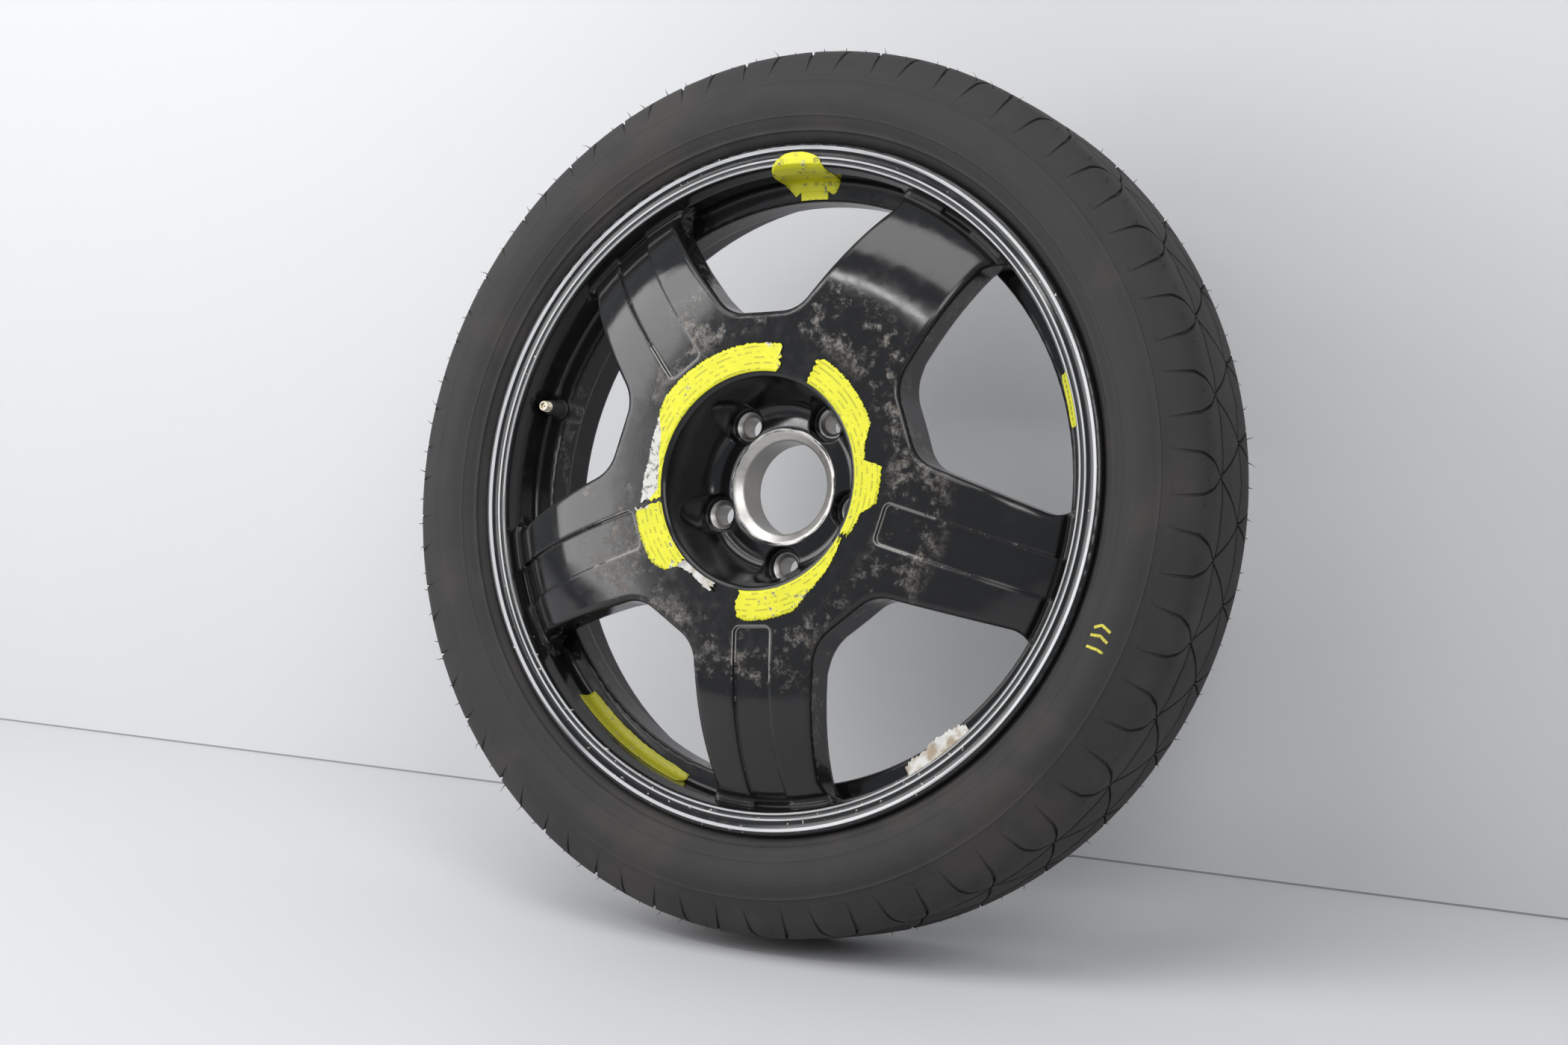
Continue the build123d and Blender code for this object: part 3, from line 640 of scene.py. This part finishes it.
def wheel_material(settings):
    """Gloss black paint on cast aluminium, with bare seats, scuffed shoulders, chipped edges and painted
    highlights on the lip's ridges.
    """
    material, shader, place = start_material("worn_black_paint")
    radius, angle, y = round_axle(place)
    along, across = along_spoke(radius, angle)
    facing = front_facing(place)
    wear = settings.wear
    normal = place.add("ShaderNodeNewGeometry", None, None, "Normal")
    sharp = 1 - place.rounded(3.0).dot(normal)

    patches = place.noise(0.026, 3.0, 0.6)
    cloud = place.noise(0.09, 5.0, 0.68)
    fine = place.noise(0.45, 4.0, 0.7)
    streaks = place.scaled((0.25, 1.0, 1.1)).noise(0.35, 4.0, 0.7)
    scrape = place.noise(0.12, 6.0, 0.74)

    # Rubbed shoulders of the spokes and the near ends of the channels
    shoulder = radius.band(*SHOULDER, 17.0) * facing.rise(0.5, 0.8)
    rubbed = (patches * 0.55 + scrape * 0.45).rise(0.50, 0.60) * shoulder
    rubbed = (rubbed * (0.2 + 0.8 * fine.rise(0.36, 0.6)) * wear).limit()

    # Edges of windows and channels, worn bright towards the hub
    near_hub = 1 - radius.rise(*NEAR_HUB)
    edge = sharp.rise(0.04, 0.13) * radius.band(*WORN_EDGES, 4.0) * y.band(*FACE_DEPTH, 2.0)
    edge = edge * facing.rise(0.0, 0.2)
    edge_chips = edge * (fine * 0.4 + cloud * 0.6 + near_hub * 0.2).rise(0.58, 0.62) * wear

    # Flaking inside the windows
    inside = (1 - facing.rise(0.12, 0.3)) * facing.rise(-0.35, -0.2) * radius.band(*WINDOW_WALLS, 3.0)
    flakes = inside * (cloud * 0.6 + patches * 0.4).rise(0.52, 0.60) * fine.rise(0.36, 0.56) * wear

    # Chips on the lip, most of them low down
    low_side = place.math("COSINE", place.math("RADIANS", angle - LOW_SIDE)).rise(0.2, 1.0)
    lip = radius.band(*LIP, 0.6) * (1 - y.rise(*LIP_BACK))
    lip_chips = lip * (place.noise(0.26, 3.0, 0.6) + low_side * 0.05).rise(0.72, 0.74)

    # Bare machined places
    bolt = (along - BOLT_CIRCLE) * (along - BOLT_CIRCLE) + across * across
    seat = (1 - bolt.math("SQRT", bolt).rise(*SEAT_EDGE)) * y.rise(*SEAT_DEPTH)
    bore = 1 - radius.rise(*BORE_EDGE)
    arcs = place.vector(angle * 0.035, radius * 0.4, 0.0).noise(1.0, 4.0, 0.6)
    bore_scrape = radius.band(*BORE_RING, 0.9) * arcs.rise(0.36, 0.56)
    back = y.rise(*PAD_PLANE) * (1 - radius.rise(*PAD_EDGE))
    bare = seat.either(bore).either(bore_scrape).either(back).limit()

    # Painted highlights: the ridges of the lip are painted light grey, in broken arcs, where they would
    # reflect the light
    front = 1 - y.rise(*RIDGES_BACK)
    outer, middle, inner = (radius.band(*ridge) for ridge in LIP_RIDGES)
    ridges = outer.either(middle).either(inner)
    painted_ridge_highlight = ridges * front * (0.35 + 0.65 * arcs.rise(0.3, 0.5))

    chips = edge_chips.either(lip_chips).limit()
    grime = (flakes * 0.85).either(rubbed)
    base = (radius.rise(60.0, 70.0) * cloud * 0.25).blend(colour(settings.paint), (0.014, 0.013, 0.013, 1.0))
    rub_colour = scrape.rise(0.4, 0.66).blend((0.075, 0.062, 0.052, 1.0), colour(settings.scuff))
    base = grime.blend(base, rub_colour)
    # painted highlight: light grey on the lip's ridges
    base = painted_ridge_highlight.blend(base, (0.50, 0.50, 0.51, 1.0))
    base = chips.blend(base, (0.46, 0.44, 0.41, 1.0))
    metal = streaks.blend((0.36, 0.345, 0.33, 1.0), colour(settings.metal))
    base = bare.blend(base, metal)

    turned = place.vector(radius * 2.2, y * 2.2, angle * 0.01).noise(1.0, 2.0)
    rough = 0.08 + 0.09 * cloud.rise(0.4, 0.75) + 0.04 * fine
    rough = grime.between(rough, 0.46)
    rough = chips.between(rough, 0.5)
    rough = bare.between(rough, 0.24 + 0.22 * streaks)
    metallic = (bare * 0.95).either(chips * 0.6).either(rubbed * 0.45)
    height = fine * 0.12 + grime * -0.25 + chips * -0.6 + bare * turned * 0.25
    feed(shader, base_color=base, roughness=rough, metallic=metallic,
         normal=height.bump(0.22, 0.0005, Normal=place.rounded(3.2)))
    return material


class SPAREWHEEL_OT_valve(bpy.types.Operator):
    """Finishes the air valve and gives its tip a thread"""

    bl_idname = "sparewheel.valve"
    bl_label = "Finish the valve"

    def execute(self, context):
        settings = context.scene.sparewheel_paint
        brass = brass_material(settings)
        for node in ("valve_stem", "valve_core", "valve_pin"):
            dress(node, brass)
        dress("valve_body", plain_material("valve_rubber", (0.012, 0.012, 0.012, 1.0), 0.55, 0.5))
        seal = plain_material("seal_rubber", (0.05, 0.02, 0.02, 1.0), 0.6, 0.8)
        for node in ("core_gasket", "poppet_seal"):
            dress(node, seal)
        spring = plain_material("spring_wire", (0.55, 0.55, 0.54, 1.0), 0.3, 1.2)
        spring.node_tree.nodes["Principled BSDF"].inputs["Metallic"].default_value = 1.0
        build_spring(spring)
        build_thread(brass)
        return {"FINISHED"}


def build_spring(material):
    """The valve's spring as a copy in its own material, riding on the wheel."""
    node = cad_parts["valve_spring"]
    mesh = node.data.copy()
    mesh.materials.clear()
    mesh.materials.append(material)
    coil = bpy.data.objects.new("valve_spring_coil", mesh)
    bpy.context.scene.collection.objects.link(coil)
    coil.matrix_world = node.matrix_world.copy()
    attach(coil, "wheel")
    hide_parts("valve_spring")
    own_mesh(coil)


def build_thread(material):
    """A fine thread round the valve's tip."""
    axis_x = (VALVE_LOW.x + VALVE_HIGH.x) / 2 / MM
    axis_z = (VALVE_LOW.z + VALVE_HIGH.z) / 2 / MM
    tip_y = VALVE_LOW.y / MM
    radius, pitch, turns, steps = 3.85, 0.79, 7.5, 32
    start, crest, sink, flank, taper = 0.7, 0.22, 0.08, 0.36, 12
    points = []
    faces = []
    total = int(turns * steps)
    for step in range(total + 1):
        angle = math.tau * step / steps
        y = tip_y + start + pitch * step / steps
        fade = min(1.0, step / taper, (total - step) / taper)
        for high, side in ((-sink, -flank), (crest * fade, 0.0), (-sink, flank)):
            points.append((axis_x + (radius + high) * math.cos(angle), y + side * pitch,
                           axis_z + (radius + high) * math.sin(angle)))
    for step in range(total):
        low = 3 * step
        for strip in range(2):
            faces.append((low + strip, low + strip + 1, low + strip + 4, low + strip + 3))
    piece = new_piece("valve_tip_thread", points, faces, material)
    smooth(piece, 50.0)


def brass_material(settings):
    """Dull brass with worn nickel."""
    material, shader, place = start_material("worn_brass")
    spots = place.noise(0.8, 4.0)
    base = spots.rise(0.4, 0.65).blend(colour(settings.brass), (0.62, 0.60, 0.55, 1.0))
    feed(shader, base_color=base, roughness=(0.28 + spots * 0.25), metallic=1.0,
         normal=spots.bump(0.1, 0.0002))
    return material


def plain_material(name, base_colour, rough, scale):
    """One colour with a little cloudiness."""
    material, shader, place = start_material(name)
    spots = place.noise(scale, 3.0)
    lighter = tuple(value * 1.8 + 0.004 for value in base_colour[:3]) + (1.0,)
    feed(shader, base_color=(spots * 0.6).blend(base_colour, lighter), roughness=(rough + spots * 0.2 - 0.1),
         normal=spots.bump(0.15, 0.0003))
    return material


class SPAREWHEEL_OT_labels(bpy.types.Operator):
    """Builds the torn labels on the hub and the rim"""

    bl_idname = "sparewheel.labels"
    bl_label = "Build the labels"

    def execute(self, context):
        settings = context.scene.sparewheel_label
        hub_film = film_material("hub_label_film", settings, settings.yellow, 3.9, 0.5, hub=True)
        paper = scrap_material(settings)
        for name, first, last, edge, seed, curl in HUB_LABELS:
            material = paper if name == "hub_label_scrap" else hub_film
            build_hub_label(name, first, last, edge, seed, curl, material)
        build_pressure_label(film_material("pressure_label_film", settings, settings.yellow, 13.0, 0.55))
        right_film = film_material("right_label_film", settings, settings.yellow, 9.0, 0.6)
        build_strip("rim_label_right", RIGHT_STRIP, right_film, 3)
        lower_film = film_material("worn_label_film", settings, settings.olive, 2.8, 0.4)
        build_strip("rim_label_lower", LOWER_STRIP, lower_film, 5)
        build_strip("torn_label", TORN_STRIP, paper, 9)
        return {"FINISHED"}


# Torn pieces of the hub's label: first and last angle, outer edge as (share, radius), seed, curl in mm
HUB_LABELS = (
    ("hub_label_upper", 79.0, 188.0, ((0.0, 96.5), (0.57, 97.5), (0.685, 91.5), (0.807, 89.0), (0.917, 91.0),
                                      (1.0, 93.5)), 11, 0.7),
    ("hub_label_lower_left", 190.0, 224.0, ((0.0, 98.5), (0.5, 99.5), (0.72, 99.0), (0.9, 94.0),
                                            (1.0, 86.5)), 12, 0.5),
    ("hub_label_scrap", 225.0, 247.0, ((0.0, 83.5), (0.35, 80.5), (0.7, 82.5), (1.0, 83.5)), 13, 3.0),
    ("hub_label_bottom", 262.0, 328.0, ((0.0, 95.0), (0.08, 97.5), (0.42, 96.5), (0.55, 90.0), (0.72, 86.0),
                                        (1.0, 80.0)), 14, 0.6),
    ("hub_label_right", 331.0, 420.5, ((0.0, 83.0), (0.14, 86.0), (0.2, 95.5), (0.37, 97.3), (0.41, 84.5),
                                       (0.5, 87.5), (0.58, 95.5), (0.97, 97.0), (1.0, 93.0)), 15, 0.6),
)
# The label's inner and middle radius, and how far it lies off the ring: mean, wave and least
LABEL_INNER = 76.6
LABEL_MIDDLE = 87.0
LABEL_LIFT = 0.28
LABEL_WAVE = 0.10
LEAST_LIFT = 0.16


def build_hub_label(name, first, last, edge, seed, curl, material):
    """One torn piece of film on the flat ring round the bowl."""
    draw = random.Random(seed)
    columns = max(24, int((last - first) * 2.2))
    rows = 9
    shares = [share for share, _ in edge]
    radii = [radius for _, radius in edge]
    ragged = [draw.uniform(-0.8, 0.5) for _ in range(columns + 1)]
    tear_first = [draw.uniform(-1.1, 1.1) for _ in range(rows + 1)]
    tear_last = [draw.uniform(-1.1, 1.1) for _ in range(rows + 1)]
    wave = [draw.uniform(0, math.tau) for _ in range(3)]
    points = []
    spots = []
    for column in range(columns + 1):
        share = column / columns
        outer = float(np.interp(share, shares, radii)) + ragged[column]
        for row in range(rows + 1):
            depth = row / rows
            radius = LABEL_INNER + (outer - LABEL_INNER) * depth
            near_first = max(0.0, 1 - share * (last - first) / 4.0)
            near_last = max(0.0, 1 - (1 - share) * (last - first) / 4.0)
            angle = first + (last - first) * share
            angle += near_first * tear_first[row] + near_last * tear_last[row]
            lift = LABEL_LIFT
            lift += LABEL_WAVE * math.sin(angle * 0.9 + wave[0]) * math.sin(radius * 0.7 + wave[1])
            lift += curl * (near_first ** 2 + near_last ** 2) * (0.4 + 0.6 * depth)
            swell = 0.5 + 0.5 * math.sin(angle * 0.37 + wave[2])
            lift += curl * 0.8 * max(0.0, depth - 0.72) ** 2 * 6 * swell
            points.append(on_wheel(radius, angle, PLATEAU_Y - max(lift, LEAST_LIFT)))
            spots.append((math.radians(angle) * LABEL_MIDDLE, radius - LABEL_INNER))
    finish_sheet(name, points, spots, grid_faces(0, columns, rows), material)


def grid_faces(start, columns, rows):
    """Faces of a grid of points, column by column."""
    faces = []
    for column in range(columns):
        for row in range(rows):
            low = start + column * (rows + 1) + row
            faces.append((low, low + 1, low + rows + 2, low + rows + 1))
    return faces


FILM_THICKNESS = 0.12


def finish_sheet(name, points, spots, faces, material):
    """A thin sheet with a map of its points in millimetres along and across it."""
    piece = new_piece(name + "_film", points, faces, material, [name])
    layer = piece.data.uv_layers.new(name="label_mm")
    for loop in piece.data.loops:
        layer.data[loop.index].uv = spots[loop.vertex_index]
    thickness = piece.modifiers.new("paper", "SOLIDIFY")
    thickness.thickness = FILM_THICKNESS * MM
    thickness.offset = 0.0
    piece.data.shade_smooth()


# Line of the rim's section under the round sticker, from the lip inwards, as (radius, y)
RIM_LINE = ((237.8, -40.6), (236.6, -40.3), (233.4, -41.0), (229.1, -41.0), (226.75, -37.8), (224.2, -29.95),
            (224.2, -9.6), (223.1, -6.9), (220.4, -5.75), (209.6, -5.75))
# Patches of the sticker: rows as (distance along the line, first and last place round the rim) in mm
STICKER = (((0.2, -13.0, -5.0), (1.0, -17.5, 0.2), (2.4, -22.0, 2.6), (3.8, -25.0, 4.2), (5.6, -27.1, 6.9),
            (9.0, -29.2, 9.5), (13.8, -30.4, 12.7), (17.5, -31.2, 14.0), (21.0, -33.6, 15.0),
            (30.0, -32.8, 17.2), (41.0, -28.8, 18.5), (45.5, -27.6, 16.9), (49.3, -26.0, 13.5),
            (51.2, -25.3, 11.8)),
           ((51.2, -17.6, 5.2), (57.2, -18.7, 4.9)),
           ((51.2, -25.3, -17.9), (53.8, -23.2, -22.8)),
           ((51.2, 5.5, 11.8), (53.8, 9.2, 9.7)))
STICKER_ANGLE = 90.0
STICKER_RADIUS = 226.0


def build_pressure_label(material):
    """A round sticker with a tab and two wings, bent over the rim's steps."""
    line = np.array(RIM_LINE)
    runs = distances(line)
    rows = 14
    points = []
    spots = []
    faces = []
    for patch in STICKER:
        ends = np.array(patch)
        places = np.unique(np.concatenate((np.linspace(ends[0, 0], ends[-1, 0], 40), ends[:, 0])))
        faces += grid_faces(len(points), len(places) - 1, rows)
        for place in places:
            first, last = (np.interp(place, ends[:, 0], ends[:, side]) for side in (1, 2))
            for around in np.linspace(first, last, rows + 1):
                radius = float(np.interp(place, runs, line[:, 0]))
                angle = STICKER_ANGLE + math.degrees(around / STICKER_RADIUS)
                points.append(on_wheel(radius, angle, float(np.interp(place, runs, line[:, 1]))))
                spots.append((float(around), float(place)))
    finish_sheet("pressure_label", points, spots, faces, material)


# Strips on the rim: middle angle, span, line of the section under them, raggedness and curl
RIGHT_STRIP = {"angle": 13.0, "span": 9.4, "ragged": 0.9, "curl": 0.0,
               "line": ((228.9, -41.0), (222.2, -33.8))}
LOWER_STRIP = {"angle": 234.5, "span": 27.0, "ragged": 0.5, "curl": 0.0,
               "line": ((224.2, -20.8), (224.2, -9.7), (223.1, -6.95), (220.4, -5.78), (217.9, -5.78))}
TORN_STRIP = {"angle": 305.5, "span": 13.5, "ragged": 2.4, "curl": 3.0,
              "line": ((228.9, -41.0), (218.0, -36.4))}


def build_strip(name, strip, material, seed):
    """A worn strip of film along the rim."""
    draw = random.Random(seed)
    columns, rows = 46, 10
    line = np.array(strip["line"])
    runs = distances(line)
    first = strip["angle"] - strip["span"] / 2
    points = []
    spots = []
    ragged = [draw.uniform(-1.0, 0.2) * strip["ragged"] for _ in range(columns + 1)]
    for column in range(columns + 1):
        share = column / columns
        ends = min(1.0, share * 9, (1 - share) * 9)
        for row in range(rows + 1):
            run = (runs[-1] + ragged[column] - (1 - ends) * strip["ragged"] * 2) * row / rows
            radius = float(np.interp(run, runs, line[:, 0]))
            y = float(np.interp(run, runs, line[:, 1]))
            lift = strip["curl"] * (row / rows) ** 2 * (0.5 + 0.5 * math.sin(share * 9 + seed))
            angle = first + strip["span"] * share
            points.append(on_wheel(radius - lift * 0.5, angle, y - lift))
            spots.append((math.radians(strip["span"]) * share * STICKER_RADIUS, runs[-1] * row / rows))
    finish_sheet(name, points, spots, grid_faces(0, columns, rows), material)


# How the film's width changes round the torn left end, as (width, first angle, last angle)
FILM_TEAR = ((-13.0, 143.0, 159.0), (-4.6, 157.0, 172.0), (8.0, 182.0, 189.0))


def film_material(name, settings, film, row_height, print_share, hub=False):
    """Printed film: rows of plain bars, rubbed places and torn white paper."""
    material, shader, place = start_material(name)
    along, up, _ = place.add("ShaderNodeUVMap", {"uv_map": "label_mm"}).split()
    row = (up / row_height).math("FLOOR", up / row_height)
    in_row = up / row_height - row
    letter_width = row_height * 0.42
    letter = (along / letter_width).math("FLOOR", along / letter_width)
    word = place.vector(letter * 0.37, row * 7.3, 0.5).noise(1.0, 0.0)
    bars = in_row.band(0.38, 0.62, 0.06) * word.rise(0.44, 0.50)
    in_letter = along / letter_width - letter
    bars = bars * in_letter.band(0.14, 0.86, 0.05)
    rub = place.noise(0.11, 4.0, 0.65)
    torn = rub.rise(0.62, 0.67)
    if hub:
        # the printed film is torn off its paper along the outer side of the left end
        turn = along / math.radians(LABEL_MIDDLE)
        film_edge = 20.4
        for width, first, last in FILM_TEAR:
            film_edge = film_edge + width * turn.rise(first, last)
        at_left = turn.band(140.0, 190.5, 1.0)
        torn = torn.either((up - film_edge + rub * 3.0 - 1.5).rise(-0.2, 0.3) * at_left)
    tint = place.noise(0.05, 2.0).blend(colour(film), darker(film, 0.82))
    base = (bars * (1 - rub.rise(0.5, 0.62)) * print_share).limit().blend(tint, colour(settings.ink))
    stain = place.noise(0.22, 4.0, 0.7).rise(0.52, 0.6)
    base = torn.blend(base, (stain * 0.85).blend(colour(settings.paper), (0.085, 0.06, 0.04, 1.0)))
    feed(shader, base_color=base, roughness=(0.36 + rub * 0.3), normal=rub.bump(0.25, 0.0004))
    return material


def scrap_material(settings):
    """Torn backing paper, grey and tan."""
    material, shader, place = start_material("torn_paper")
    fibres = place.noise(0.35, 4.0, 0.7)
    stain = place.noise(0.09, 3.0)
    base = stain.rise(0.42, 0.62).blend(colour(settings.paper), (0.30, 0.24, 0.17, 1.0))
    base = (fibres.rise(0.6, 0.7) * 0.6).blend(base, (0.75, 0.74, 0.71, 1.0))
    feed(shader, base_color=base, roughness=(0.6 + fibres * 0.2), normal=fibres.bump(0.4, 0.0005))
    return material


class SPAREWHEEL_OT_stage(bpy.types.Operator):
    """Sets the floor, the wall, the lamps and the camera"""

    bl_idname = "sparewheel.stage"
    bl_label = "Set the stage"

    def execute(self, context):
        settings = context.scene.sparewheel_stage
        build_backdrop(settings)
        build_lamps(settings)
        build_camera(settings)
        context.scene.view_settings.view_transform = "Standard"
        return {"FINISHED"}


def room_axes(settings):
    """Up, out of the wall, and along the wall, in the part's frame."""
    lean, turn = settings.lean, settings.turn
    up = Vector((math.sin(turn) * math.cos(lean), -math.sin(lean), math.cos(turn) * math.cos(lean)))
    outer = Vector((0, -1, 0))
    out = (outer - up * outer.dot(up)).normalized()
    return up, out, up.cross(out)


def build_backdrop(settings):
    """A pale floor and wall that meet in a plain corner."""
    up, out, side = room_axes(settings)
    reach, tall, wide = 4.0, 4.0, 6.0
    foot = -up * settings.drop - out * settings.wall_gap
    line = ((reach, 0.0), (0.0, 0.0), (0.0, tall))
    points = [tuple(foot + out * away + up * high + side * across)
              for away, high in line for across in (-wide, wide)]
    faces = [(2 * step, 2 * step + 1, 2 * step + 3, 2 * step + 2) for step in range(len(line) - 1)]
    mesh = bpy.data.meshes.new("backdrop")
    mesh.from_pydata(points, [], faces)
    mesh.materials.append(backdrop_material(settings))
    backdrop = bpy.data.objects.new("backdrop", mesh)
    bpy.context.scene.collection.objects.link(backdrop)


def backdrop_material(settings):
    """Pale satin board, with a painted shadow line along the corner."""
    material, shader, place = start_material("pale_backdrop")
    cloud = place.noise(0.002, 2.0)
    base = cloud.blend(colour(settings.backdrop), darker(settings.backdrop, 0.97))
    # painted shadow line: a thin dark band along the foot of the wall, just above the floor
    above_floor = place.dot(tuple(room_axes(settings)[0])) + settings.drop / MM
    base = (above_floor.band(0.3, 1.6, 0.3) * 0.75).blend(base, (0.16, 0.16, 0.165, 1.0))
    feed(shader, base_color=base, roughness=0.45)
    shader.inputs["Specular IOR Level"].default_value = 0.3
    # seen from behind, the board lets the view through
    behind = place.add("ShaderNodeNewGeometry", None, None, "Backfacing")
    clear = place.add("ShaderNodeBsdfTransparent")
    front = Wire(place.tree, shader.outputs[0])
    both = place.add("ShaderNodeMixShader", None, {0: behind, 1: front, 2: clear})
    place.tree.links.new(both.socket, place.tree.nodes["Material Output"].inputs["Surface"])
    return material


def build_lamps(settings):
    """Large soft lamps and a dim even room."""
    up, out, side = room_axes(settings)
    for name, away, high, across, size, power in (
            ("lamp_left", 1.5, 0.9, -1.9, (1.4, 1.8), 36.0),
            ("lamp_right", 1.9, 1.5, 1.6, (1.0, 1.4), 26.0),
            ("lamp_top", 0.9, 2.2, -0.2, (1.8, 1.0), 20.0),
            ("lamp_strip", 1.5, 1.3, -0.5, (1.6, 0.1), 7.0)):
        lamp = bpy.data.lights.new(name, "AREA")
        lamp.shape = "RECTANGLE"
        lamp.size, lamp.size_y = size
        lamp.energy = power
        holder = bpy.data.objects.new(name, lamp)
        bpy.context.scene.collection.objects.link(holder)
        holder.location = out * away + up * high + side * across
        holder.rotation_mode = "QUATERNION"
        holder.rotation_quaternion = (-holder.location).to_track_quat("-Z", "Y")
    world = bpy.data.worlds.new("dim_room")
    bpy.context.scene.world = world
    world.use_nodes = True
    background = world.node_tree.nodes["Background"]
    background.inputs["Color"].default_value = (0.9, 0.95, 1.0, 1.0)
    background.inputs["Strength"].default_value = 0.42


# The photograph's viewpoint in metres, and its directions to the right and up
CAMERA_PLACE = (0.9047, -1.6784, -0.2158)
CAMERA_RIGHT = (0.8782, 0.4772, 0.0304)
CAMERA_UP = (0.0216, -0.1031, 0.9944)


def build_camera(settings):
    """The camera at the photograph's place."""
    camera = bpy.data.cameras.new("camera")
    camera.sensor_width = 36.0
    camera.lens = settings.lens
    camera.clip_start, camera.clip_end = 0.05, 50.0
    holder = bpy.data.objects.new("camera", camera)
    bpy.context.scene.collection.objects.link(holder)
    right = Vector(CAMERA_RIGHT)
    rise = Vector(CAMERA_UP)
    back = right.cross(rise)
    turn = Matrix((right, rise, back)).transposed().to_4x4()
    holder.matrix_world = Matrix.Translation(CAMERA_PLACE) @ turn
    bpy.context.scene.camera = holder


class SPAREWHEEL_PT_panel(bpy.types.Panel):
    """Lists the steps in the sidebar"""

    bl_idname = "SPAREWHEEL_PT_panel"
    bl_label = "Spare wheel"
    bl_space_type = "VIEW_3D"
    bl_region_type = "UI"
    bl_category = "Spare wheel"

    def draw(self, context):
        for operator in OPERATORS:
            self.layout.operator(operator.bl_idname)


SETTINGS = {"sparewheel_tyre": TyreSettings, "sparewheel_paint": PaintSettings,
            "sparewheel_label": LabelSettings, "sparewheel_stage": StageSettings}
OPERATORS = (SPAREWHEEL_OT_tyre, SPAREWHEEL_OT_paint, SPAREWHEEL_OT_valve, SPAREWHEEL_OT_labels,
             SPAREWHEEL_OT_stage)
CLASSES = (*SETTINGS.values(), *OPERATORS, SPAREWHEEL_PT_panel)


def register():
    """Adds the classes and the scene's settings."""
    for item in CLASSES:
        bpy.utils.register_class(item)
    for name, group in SETTINGS.items():
        setattr(bpy.types.Scene, name, PointerProperty(type=group))


def unregister():
    """Takes the settings and classes away again."""
    for name in SETTINGS:
        delattr(bpy.types.Scene, name)
    for item in reversed(CLASSES):
        bpy.utils.unregister_class(item)


def main():
    """Builds every piece in order."""
    register()
    bpy.ops.sparewheel.tyre()
    bpy.ops.sparewheel.paint()
    bpy.ops.sparewheel.valve()
    bpy.ops.sparewheel.labels()
    bpy.ops.sparewheel.stage()
    bpy.context.view_layer.update()


if __name__ == "__main__":
    main()
